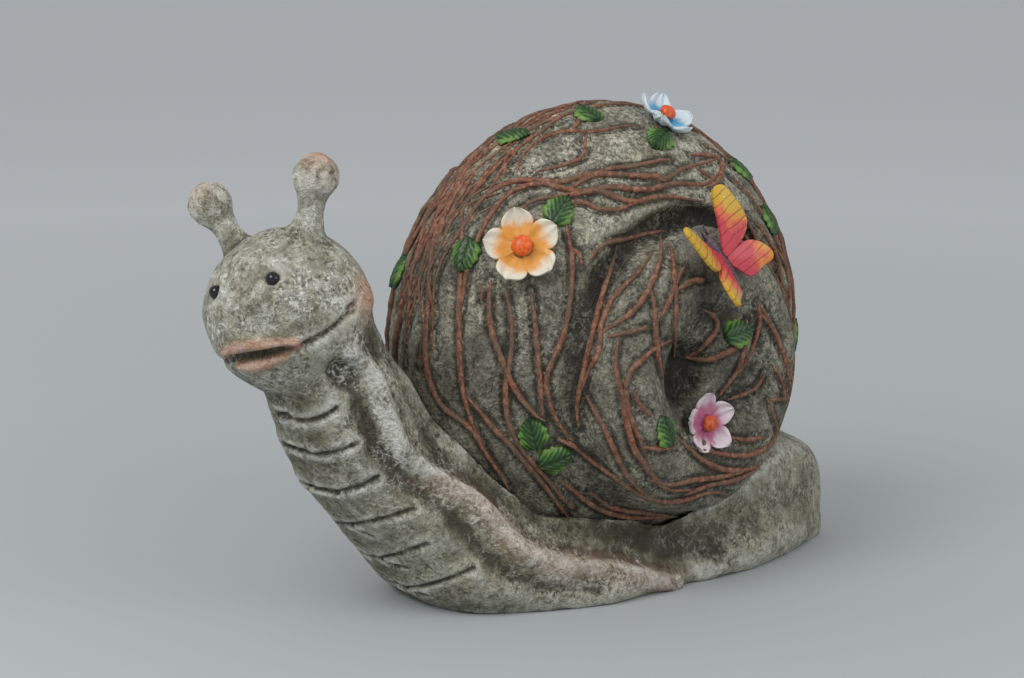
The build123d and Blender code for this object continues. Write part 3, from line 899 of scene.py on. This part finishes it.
def vineLines(tree):
    lines = []

    def addPair(line, width):
        lines.append((line, width))
        lines.append((mirrored(line), width))

    for width, flat in vinesSeen:
        line = castLine(tree, list(zip(flat[::2], flat[1::2])), 2.2)
        if len(line) > 3:
            addPair(line, width)
    for way in vinesHidden:
        line = [shellSpot(tree, p.x, p.y) for p in curved([(a, s, 0) for a, s in way], 1.5)]
        addPair(line, rng.uniform(0.75, 1.0))
    count = vine["barkStrands"]
    for i in range(count):  # bark-like strands over the rim
        side = -11 + 22 * i / (count - 1)
        start = rng.uniform(-6, 25) if i % 2 else rng.uniform(85, 110)
        length = rng.uniform(70, 110)
        waves = rng.uniform(0, 6)
        way = [
            (start + length * k / 8, side + 2.2 * math.sin(waves + k * 1.3) + rng.uniform(-0.8, 0.8), 0)
            for k in range(9)
        ]
        line = [shellSpot(tree, p.x, p.y) for p in curved(way, 1.5)]
        lines.append((line, rng.uniform(0.55, 0.8)))
    return lines


def gapToVines(clay, lines):
    spots = [p for line, _ in lines for p in line]
    finder = KDTree(len(spots))
    for i, p in enumerate(spots):
        finder.insert(p, i)
    finder.balance()
    return np.array([finder.find(Vector(p))[2] for p in clay.places])


def paintShell(clay, gap):
    # painted attributes: hollows with painted shade beside the vines, edges held back there, dry brushing
    # with a painted highlight towards the top, and painted light and shade that darken the coil and the broad
    # hollows and light the top
    fine = clay.relief(*shell["fineRelief"])
    broad = clay.relief(*shell["broadRelief"])
    look = shell["paintedLightShade"]
    # a dark wash in the hollows, with painted shade added beside the vines, where the pale edge brushing is
    # also held back
    clay.paint("hollow", unit(-fine * 0.4 - broad * 0.9 + 0.5 * bell(gap / look["vineShadeReach"])))
    clay.paint("edge", unit(fine * 0.4 + broad * 0.5 - 0.3 * bell(gap / look["vineShadeEdgeReach"])))
    rim = bell((clay.places[:, 0] - middleX) / look["rimReach"])
    high = unit((clay.places[:, 2] - look["high"]) / look["highFade"])
    # dry brushing, with a painted highlight that makes it paler towards the top, and less of it along the rim
    clay.paint("dry", unit(0.55 + 0.4 * high - 0.35 * unit(rim * 1.2)))
    coil = clay.near(look["coil"], look["coilReach"])
    # painted light and shade: lighter towards the top and a little along the rim, darker in the coil and the
    # broad hollows
    paintedLightShade = 1 + 0.38 * high - 0.30 * coil - 0.35 * unit(-broad) + 0.10 * rim
    clay.paint("paintedLightShade", np.clip(paintedLightShade, 0.2, 1.6))


def paintShellStone(tree, shader):
    colour = paintStone(tree, shader, shellPaint)
    # the shell colour is multiplied by the painted light and shade
    paintColour(tree, shader, colour.blend(attribute(tree, "paintedLightShade"), 1.0, "MULTIPLY"))


def makeShell():
    piece = remesh("shell_skin", copyNodes(["shell_casting"]), shell["voxel"])
    clay = Clay(piece)
    clay.smooth(8)
    flank = shell["flank"]
    clay.smooth(flank["rounds"], (np.abs(clay.places[:, 0] - middleX) > flank["start"]) * flank["share"])
    for size, depth in shell["swells"]:
        clay.roughen(size, depth)
    clay.store()
    skin = tree3d(piece)
    lines = vineLines(skin)
    gap = gapToVines(clay, lines)
    groove = shell["grooves"]
    beside = bell((gap - groove["away"]) / groove["width"])
    clay.places -= clay.normals() * (beside * groove["depth"])[:, None]
    paintShell(clay, gap)
    clay.store()
    dress(piece, "shellStone", 0.5, paintShellStone)
    finishPiece(piece, "shell_casting", "shell_casting")
    print("shell", len(piece.data.polygons))
    return skin, lines


def vineSide(line):
    # 1 on the left flank, -1 on the right one, 0 on the rim
    off = line[len(line) // 2].x - middleX
    return 0 if abs(off) <= vine["rim"] else math.copysign(1, off)


def vineMesh(name, skin, lines):
    curve = bpy.data.curves.new(name, "CURVE")
    curve.dimensions = "3D"
    curve.bevel_depth = 1
    curve.bevel_resolution = 2
    curve.use_fill_caps = True
    for line, width in lines:
        spline = curve.splines.new("POLY")
        spline.points.add(len(line) - 1)
        for i, spot in enumerate(line):
            taper = 1 - 0.72 * abs(2 * i / (len(line) - 1) - 1) ** 3
            knot = 1 + 0.10 * math.sin(i * 0.9 + spot.y * 300)
            spline.points[i].co = (*(spot - skin.find_nearest(spot)[1] * vine["sink"]), 1)
            spline.points[i].radius = vine["radius"] * width * taper * knot
    holder = bpy.data.objects.new(name + "_line", curve)
    scene.collection.objects.link(holder)
    mesh = bpy.data.meshes.new_from_object(holder.evaluated_get(bpy.context.evaluated_depsgraph_get()))
    bpy.data.objects.remove(holder)
    return mesh


def paintVine(tree, shader):
    wear = objectNoise(tree, 300, 5, 0.7, 0.8)
    colour = wear.ramp((0.3, vine["dark"]), (0.46, vine["base"]), (0.68, vine["worn"]))
    stain = objectNoise(tree, 45, 4, 0.6).ramp((0.42, 0.0), (0.62, 0.6))
    paintColour(tree, shader, colour.blend(shellPaint["moss"], stain))
    bump(tree, shader, wear, 0.6, 0.0008)


def makeVines(skin, lines):
    for name, side, regions in (
        ("vines_left", 1, ("flank_left", "rear_left", "whorl_left")),
        ("vines_right", -1, ("flank_right", "rear_right", "whorl_right")),
        ("vines_rim", 0, ("rim_front", "rim_rear")),
    ):
        mesh = vineMesh(name, skin, [pair for pair in lines if vineSide(pair[0]) == side])
        piece = addPiece(name, mesh)
        dress(piece, "vinePaint", 0.7, paintVine)
        finishPiece(piece, "vines", *["vines_" + region for region in regions])
        print(name, len(mesh.polygons))


# leaves

leaf = {
    "length": 0.0205,
    "width": 0.0160,
    "thickness": 0.0011,
    "lift": 0.0004,
    "dark": (0.010, 0.030, 0.006),
    "mid": (0.022, 0.080, 0.012),
    "light": (0.13, 0.25, 0.045),
    "headings": {
        "front_flank": 175, "front_rim": 10, "above_orange_flower": -35, "crown_front": -60,
        "by_blue_flower": 120, "behind_blue_flower": 20, "crown_rear": -150, "rear_upper": -165,
        "rear_low": 170, "low_upper": 15, "low_lower": -65, "by_pink_flower": 25, "on_coil": -78,
    },
}


def seat(skin, node, heading, lift):
    # place on the shell under a CAD node: Z out of the shell, X turned by the heading from straight up
    low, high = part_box(node)
    spot, out = skin.find_nearest((low + high) / 2)[:2]
    climb = (Vector((0, 0, 1)) - out * out.z).normalized()
    side = out.cross(climb)
    place = Matrix((climb, side, out)).transposed().to_4x4()
    place.translation = spot + out * lift
    return place @ Matrix.Rotation(math.radians(heading), 4, "Z")


def shapeLeaf(bm, uv):
    # a grid drawn in to a pointed blade, with lobed edge, sunk midrib and arching sides
    for vert in bm.verts:
        u = vert.co.x * 2
        v = vert.co.y * 2
        outline = max(0, 1 - abs(u) ** 2.6) ** 0.85 * (1 - 0.26 * u)
        lobes = 1 + 0.10 * math.sin(u * 13) * (1 - abs(u))
        y = v * outline * lobes
        rib = -0.0012 * math.exp(-((v / 0.16) ** 2))
        veins = -0.00045 * max(0, math.cos((u * 9 - abs(v) * 4.5) * math.pi / 2.1)) ** 4
        dome = 0.0030 * (1 - (abs(v)) ** 2) + 0.0012 * (1 - u * u) - 0.0006
        vert.co = Vector((u * leaf["length"] / 2, y * leaf["width"] / 2, dome + rib + veins))
    for face in bm.faces:
        for loop in face.loops:
            co = loop.vert.co
            loop[uv].uv = (co.x / leaf["length"] + 0.5, co.y / leaf["width"] + 0.5)


def paintLeaf(tree, shader):
    _, along, over = uvParts(tree, "leaf")
    across = abs(over - 0.5)
    veins = abs((along * 5.2 - across * 6.0).calc("FRACT") - 0.5)
    border = (across * 2.0).calc("POWER", 3.0)
    bright = veins * 0.9 + objectNoise(tree, 420, 4, 0.7) * 0.5 + border * 0.9
    colour = bright.ramp((0.28, leaf["dark"]), (0.62, leaf["mid"]), (1.0, leaf["light"]))
    paintColour(tree, shader, colour.blend(leaf["dark"], across.ramp((0.012, 1.0), (0.035, 0.0))))
    bump(tree, shader, bright, 0.4, 0.0008)


def makeLeaves(skin):
    for name, heading in leaf["headings"].items():
        node = "leaf_" + name
        bm = bmesh.new()
        uv = bm.loops.layers.uv.new("leaf")
        bmesh.ops.create_grid(bm, x_segments=26, y_segments=16, size=0.5)
        shapeLeaf(bm, uv)
        bmesh.ops.solidify(bm, geom=bm.faces[:], thickness=leaf["thickness"])
        bmesh.ops.recalc_face_normals(bm, faces=bm.faces)
        bm.transform(seat(skin, node, heading, leaf["lift"]))
        piece = newPiece(node + "_blade", bm)
        dress(piece, "leafPaint", 0.38, paintLeaf)
        finishPiece(piece, "leaves", node)
    print("leaves", len(leaf["headings"]))


# flowers

flowers = {
    "orange": {
        "slot": "orange_petals", "radius": 0.0213, "heading": 12, "reach": 0.60,
        "tint": (0.70, 0.30, 0.035), "rim": (0.72, 0.69, 0.58),
        "streak": (0.20, 0.06, 0.01), "bead": (0.80, 0.12, 0.012),
    },
    "blue": {
        "slot": "blue_petals", "radius": 0.0180, "heading": 30, "reach": 0.50,
        "tint": (0.10, 0.40, 0.62), "rim": (0.60, 0.68, 0.72),
        "streak": (0.02, 0.16, 0.38), "bead": (0.75, 0.11, 0.015),
    },
    "pink": {
        "slot": "pink_petals", "radius": 0.0175, "heading": 5, "reach": 0.52,
        "tint": (0.48, 0.13, 0.24), "rim": (0.72, 0.62, 0.66),
        "streak": (0.26, 0.03, 0.10), "bead": (0.60, 0.09, 0.02),
    },
}
petal = {"thickness": 0.0020, "stagger": 0.0003, "dust": (0.25, 0.22, 0.16)}


def shapePetal(bm, uv, radius):
    for vert in bm.verts:
        t = vert.co.x + 0.5
        v = vert.co.y * 2
        root = 0.30 + 0.70 * math.sin(math.pi / 2 * min(1, t / 0.6))
        width = radius * 0.415 * root * math.sqrt(max(0.02, 1 - (max(0, t - 0.6) / 0.405) ** 2))
        x = radius * (0.14 + 0.86 * t) * (1 - 0.05 * v * v * t)
        cup = 0.0042 + 0.0050 * t * t - 0.0022 * (1 - v * v) * math.sin(math.pi * t)
        cup += 0.0009 * math.cos(v * 9) * t
        vert.co = Vector((x, v * width, cup))
        vert[bm.verts.layers.float["t"]] = t
    for face in bm.faces:
        for loop in face.loops:
            co = loop.vert.co
            loop[uv].uv = (loop.vert[bm.verts.layers.float["t"]], co.y / radius + 0.5)


def petalRing(radius):
    whole = bmesh.new()
    whole.loops.layers.uv.new("petal")
    for k in range(5):
        bm = bmesh.new()
        uv = bm.loops.layers.uv.new("petal")
        bm.verts.layers.float.new("t")
        bmesh.ops.create_grid(bm, x_segments=22, y_segments=16, size=0.5)
        shapePetal(bm, uv, radius)
        bmesh.ops.solidify(bm, geom=bm.faces[:], thickness=petal["thickness"])
        bmesh.ops.recalc_face_normals(bm, faces=bm.faces)
        turn = Matrix.Rotation(math.radians(72 * k), 3, "Z")
        bmesh.ops.rotate(bm, verts=bm.verts, cent=(0, 0, 0), matrix=turn)
        bmesh.ops.translate(bm, verts=bm.verts, vec=(0, 0, petal["stagger"] * (k % 2)))
        mesh = bpy.data.meshes.new("petal")
        bm.to_mesh(mesh)
        bm.free()
        whole.from_mesh(mesh)
        bpy.data.meshes.remove(mesh)
    bmesh.ops.create_cone(
        whole, cap_ends=True, segments=32, radius1=radius * 0.30, radius2=radius * 0.36,
        depth=0.0062, matrix=Matrix.Translation((0, 0, 0.0026)),
    )
    return whole


def paintPetals(tree, shader, look):
    place, along, _ = uvParts(tree, "petal")
    ray = uvWave(tree, place, 9.5, 2.2, "Y")
    soft = objectNoise(tree, 260, 4, 0.6)
    edge = along + (soft - 0.5) * 0.55 + (ray - 0.5) * 0.16
    reach = look["reach"]
    colour = edge.ramp((reach - 0.12, look["tint"]), (reach + 0.12, look["rim"]))
    lines = ray.ramp((0.0, 1.0), (0.12, 0.0)) * along.ramp((0.25, 0.9), (reach, 0.0))
    colour = colour.blend(look["streak"], lines)
    paintColour(tree, shader, colour.blend(petal["dust"], soft.ramp((0.62, 0.0), (0.75, 0.35))))
    bump(tree, shader, soft + ray * 0.5, 0.25, 0.0006)


def flowerBead(radius):
    bm = bmesh.new()
    bmesh.ops.create_icosphere(bm, subdivisions=4, radius=radius * 0.27)
    for vert in bm.verts:
        knob = math.sin(vert.co.x * 2600) * math.sin(vert.co.y * 2600) * math.sin(vert.co.z * 2600)
        vert.co *= 1 + 0.035 * knob
        vert.co.z = vert.co.z * 0.72 + 0.0066
    return bm


def makeFlowers(skin):
    for name, look in flowers.items():
        place = seat(skin, name + "_flower_centre", look["heading"], 0.0)
        whole = petalRing(look["radius"])
        whole.transform(place)
        piece = newPiece(name + "_flower_petals_ring", whole)
        finish = piece.modifiers.new("round", "SUBSURF")
        finish.levels = finish.render_levels = 1
        dress(piece, name + "PetalPaint", 0.42, paintPetals, look)
        finishPiece(piece, look["slot"], name + "_flower_petals")

        bm = flowerBead(look["radius"])
        bm.transform(place)
        piece = newPiece(name + "_flower_centre_bead", bm)
        deep = [c * 0.55 for c in look["bead"]]
        warm = [min(1, c * 1.12 + 0.05) for c in look["bead"]]
        specks = {
            "grain": (520, 4, 0.6), "bump": (0.4, 0.0006),
            "stops": [(0.35, deep), (0.55, look["bead"]), (0.75, warm)],
        }
        dress(piece, name + "BeadPaint", 0.35, paintSpecks, specks)
        finishPiece(piece, "flower_centres", name + "_flower_centre")
    print("flowers", len(flowers))


# butterfly

butterfly = {
    "heading": 32,
    "lift": 0.0032,
    "tilt": 16,
    "thickness": 0.0026,
    "border": 0.0022,
    "bend": 6.0,  # how the wings bow up towards their tips
    "halfLength": 0.0165,
    "waist": (0.0029, 0.0034),  # half width behind and in front
    "fore": [
        (0.003, 0.001), (0.010, 0.006), (0.020, 0.011), (0.030, 0.016), (0.033, 0.020), (0.031, 0.024),
        (0.024, 0.025), (0.014, 0.025), (0.006, 0.023), (0.001, 0.017), (-0.001, 0.009), (-0.001, 0.001),
    ],
    "hind": [
        (-0.001, 0.001), (-0.001, 0.010), (-0.003, 0.018), (-0.009, 0.023), (-0.017, 0.025), (-0.021, 0.022),
        (-0.020, 0.016), (-0.021, 0.011), (-0.019, 0.006), (-0.012, 0.003), (-0.007, 0.001),
    ],
    "pink": (0.56, 0.060, 0.085),
    "orange": (0.70, 0.20, 0.050),
    "yellow": (0.58, 0.36, 0.025),
    "dot": (0.80, 0.76, 0.66),
    "vein": (0.22, 0.02, 0.02),
    "specks": {
        "grain": (500, 4, 0.6), "bump": (0.35, 0.0006),
        "stops": [(0.35, (0.03, 0.018, 0.028)), (0.65, (0.15, 0.10, 0.13))],
    },
}


def wingShape(side):
    bm = bmesh.new()
    uv = bm.loops.layers.uv.new("wing")
    for outline, lift in ((butterfly["fore"], 0.0006), (butterfly["hind"], 0.0)):
        ring = curved([(x, y, 0) for x, y in outline + outline[:1]], 0.0016)[:-1]
        verts = [bm.verts.new((p.x, p.y * side, lift)) for p in ring]
        bm.faces.new(verts if side > 0 else verts[::-1])
    for face in bm.faces[:]:
        bmesh.ops.inset_region(bm, faces=[face], thickness=butterfly["border"], depth=0.0)
    extruded = bmesh.ops.extrude_face_region(bm, geom=bm.faces[:])
    moved = [g for g in extruded["geom"] if isinstance(g, bmesh.types.BMVert)]
    bmesh.ops.translate(bm, verts=moved, vec=(0, 0, butterfly["thickness"]))
    bmesh.ops.recalc_face_normals(bm, faces=bm.faces)
    for face in bm.faces:
        for loop in face.loops:
            co = loop.vert.co
            out = abs(co.y) * 14 + max(0, abs(co.x) - 0.012) * 12
            loop[uv].uv = (co.x * 20 + 0.5, out + (0.10 if side > 0 else 0))
    for vert in bm.verts:
        vert.co.z += butterfly["bend"] * vert.co.y**2
    return bm


def paintWing(tree, shader):
    place, _, outward = uvParts(tree, "wing")
    soft = objectNoise(tree, 200, 4, 0.6)
    out = outward + (soft - 0.5) * 0.35
    colour = out.ramp((0.22, butterfly["pink"]), (0.32, butterfly["orange"]), (0.40, butterfly["yellow"]))
    veins = uvWave(tree, place, 3.2, 5.0, "X").ramp((0.0, 0.7), (0.08, 0.0))
    colour = colour.blend(butterfly["vein"], veins)
    spots = cells(tree, place, 9).ramp((0.10, 1.0), (0.14, 0.0)) * outward.ramp((0.20, 0.0), (0.26, 1.0))
    paintColour(tree, shader, colour.blend(butterfly["dot"], spots))
    bump(tree, shader, soft, 0.25, 0.0006)


def butterflyBody():
    bm = bmesh.new()
    bmesh.ops.create_uvsphere(bm, u_segments=24, v_segments=20, radius=1)
    for vert in bm.verts:
        along = vert.co.z
        wide = butterfly["waist"][along >= 0.35] * (1 + 0.07 * math.sin(along * 26))
        vert.co = Vector((along * butterfly["halfLength"], vert.co.x * wide, vert.co.y * wide + 0.0010))
    lean = Matrix.Rotation(math.radians(80), 4, "Y")
    for side in (-1, 1):  # feelers
        bmesh.ops.create_cone(
            bm, cap_ends=True, segments=10, radius1=0.0007, radius2=0.0005, depth=0.007,
            matrix=Matrix.Translation((0.0185, side * 0.0018, 0.0022)) @ lean,
        )
    bmesh.ops.recalc_face_normals(bm, faces=bm.faces)
    return bm


def makeButterfly(skin):
    place = seat(skin, "butterfly_body", butterfly["heading"], butterfly["lift"])
    for side, name in ((1, "butterfly_wing_left"), (-1, "butterfly_wing_right")):
        bm = wingShape(side)
        bm.transform(Matrix.Rotation(math.radians(side * butterfly["tilt"]), 4, "X"))
        bmesh.ops.translate(bm, verts=bm.verts, vec=(0, side * 0.0012, 0.001))
        bm.transform(place)
        piece = newPiece(name + "_plate", bm)
        finish = piece.modifiers.new("round", "BEVEL")
        finish.width = 0.0006
        finish.segments = 2
        dress(piece, "wingPaint", 0.36, paintWing)
        finishPiece(piece, "butterfly_wings", name)
    bm = butterflyBody()
    bm.transform(place)
    piece = newPiece("butterfly_body_ringed", bm)
    dress(piece, "butterflyBodyPaint", 0.45, paintSpecks, butterfly["specks"])
    finishPiece(piece, "butterfly_body", "butterfly_body")
    print("butterfly")


# carried-over nodes


eyeSpecks = {
    "grain": (700, 3, 0.5), "bump": (0.05, 0.0003),
    "stops": [(0.4, (0.004, 0.004, 0.005)), (0.7, (0.014, 0.013, 0.014))],
}
plugSpecks = {
    "grain": (500, 4, 0.6), "bump": (0.3, 0.0005),
    "stops": [(0.35, (0.012, 0.012, 0.012)), (0.7, (0.035, 0.034, 0.033))],
}


def finishNodes():
    for name in ("eye_left", "eye_right"):
        dress(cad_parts[name], "eyeGloss", 0.12, paintSpecks, eyeSpecks)
    dress(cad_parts["base_plug"], "plugRubber", 0.7, paintSpecks, plugSpecks)
    print("nodes")


scene.view_settings.view_transform = "Standard"
makeCamera()
makeLight()
makeFloor()
makeBody()
shellSkin, shellLines = makeShell()
makeVines(shellSkin, shellLines)
makeLeaves(shellSkin)
makeFlowers(shellSkin)
makeButterfly(shellSkin)
finishNodes()
